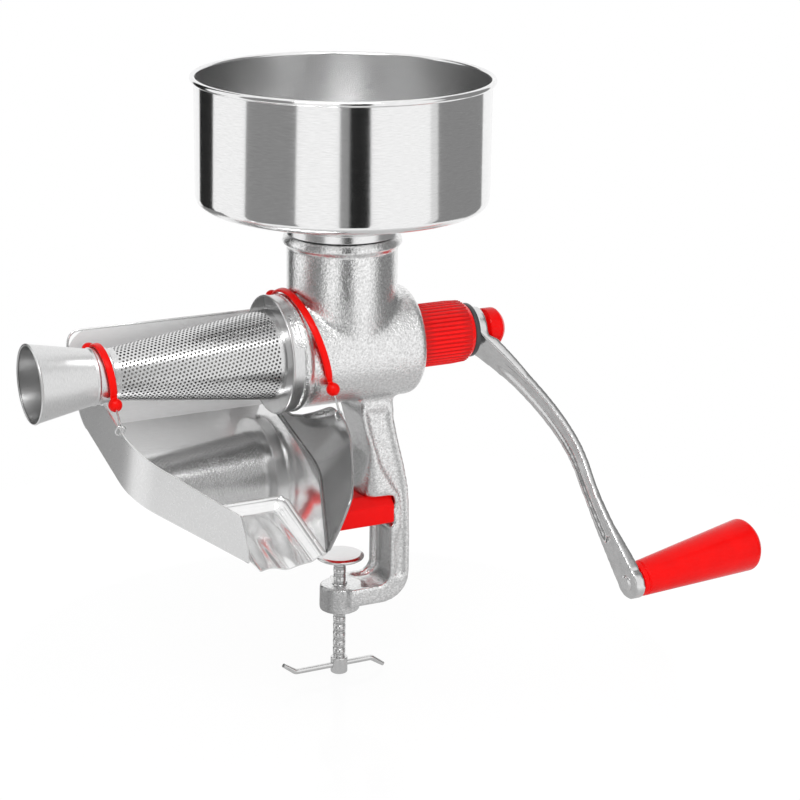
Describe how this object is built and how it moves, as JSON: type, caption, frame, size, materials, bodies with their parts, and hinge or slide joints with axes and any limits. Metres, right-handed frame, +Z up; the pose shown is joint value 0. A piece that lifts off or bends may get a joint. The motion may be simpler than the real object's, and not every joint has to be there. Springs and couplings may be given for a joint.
{
  "type": "manual tomato press",
  "caption": "Hand-cranked tomato press with round steel hopper, perforated cone filter, hanging steel juice tray, red grip and a table clamp.",
  "frame": {"origin": "on the clamp screw's axis, in the plane of the table top under the red jaw pad", "axes": "+X along the crank shaft from the filter towards the crank, +Y from the spout's side to the back wall, +Z up"},
  "size_m": [0.5241, 0.2615, 0.4648],
  "materials": {
    "cast_tin": "tinned casting with a fine bright grain",
    "brushed_bowl": "bright steel with fine lines round the wall",
    "sheet_steel": "thin bright sheet, nearly a mirror",
    "satin_zinc": "satin zinc casting",
    "zinc_steel": "zinc-plated steel",
    "bright_wire": "bright wire",
    "red_gloss": "moulded red plastic",
    "red_rubber": "smooth red rubber",
    "dark_rubber": "matt black rubber",
    "black_plastic": "black plastic with a soft sheen",
    "white_nylon": "off-white nylon"
  },
  "bodies": {
    "press": {"body_barrel": "cast_tin", "body_throat": "cast_tin", "clamp_frame": "cast_tin", "jaw_pad": "red_gloss", "bayonet_pins": "cast_tin", "shaft_bush": "white_nylon", "shaft_seal": "dark_rubber", "collar_nut": "red_gloss", "tray_floor": "sheet_steel", "tray_back": "sheet_steel", "tray_left_wall": "sheet_steel", "tray_right_wall": "sheet_steel", "tray_spout": "sheet_steel", "strap_barrel": "red_rubber", "strap_neck": "red_rubber", "strap_hooks": "bright_wire"},
    "hopper": {"hopper_bowl": "brushed_bowl", "hopper_spigot": "brushed_bowl"},
    "filter": {"filter_ring": "sheet_steel", "filter_gasket": "dark_rubber", "filter_cone": "sheet_steel", "outlet_funnel": "sheet_steel"},
    "crank": {"crank_shaft": "zinc_steel", "auger": "white_nylon", "thrust_washer": "black_plastic", "crank_arm": "satin_zinc", "crank_knob": "red_gloss", "grip_pin": "zinc_steel"},
    "grip": {"grip": "red_gloss"},
    "clamp_foot": {"pressure_disc": "zinc_steel"},
    "clamp_screw": {"clamp_screw": "zinc_steel"},
    "cross_bar": {"cross_bar": "zinc_steel"}
  },
  "joints": [
    {"name": "hopper_lift", "type": "slide", "parent": "press", "child": "hopper", "axis": [0, 0, 1], "range_m": [0, 0.06]},
    {"name": "filter_twist", "type": "hinge", "parent": "press", "child": "filter", "pos_m": [-0.12, 0, 0.1385], "axis": [1, 0, 0], "range_deg": [-25, 0]},
    {"name": "crank_spin", "type": "hinge", "parent": "press", "child": "crank", "pos_m": [0.07, 0, 0.1385], "axis": [1, 0, 0], "continuous": true},
    {"name": "grip_spin", "type": "hinge", "parent": "crank", "child": "grip", "pos_m": [0.1685, -0.13884, -0.02697], "axis": [0.9932, 0.075, 0.0894], "continuous": true},
    {"name": "clamp_travel", "type": "slide", "parent": "press", "child": "clamp_foot", "axis": [0, 0, 1], "range_m": [-0.018, 0.025]},
    {"name": "clamp_turn", "type": "hinge", "parent": "clamp_foot", "child": "clamp_screw", "pos_m": [0, 0, -0.06], "axis": [0, 0, 1], "continuous": true},
    {"name": "bar_slide", "type": "slide", "parent": "clamp_screw", "child": "cross_bar", "axis": [1, 0, 0], "range_m": [-0.019, 0.026]}
  ],
  "couplings": [
    {"joint": "clamp_turn", "follows": "clamp_travel", "rad_per_m": 4188.8}
  ]
}
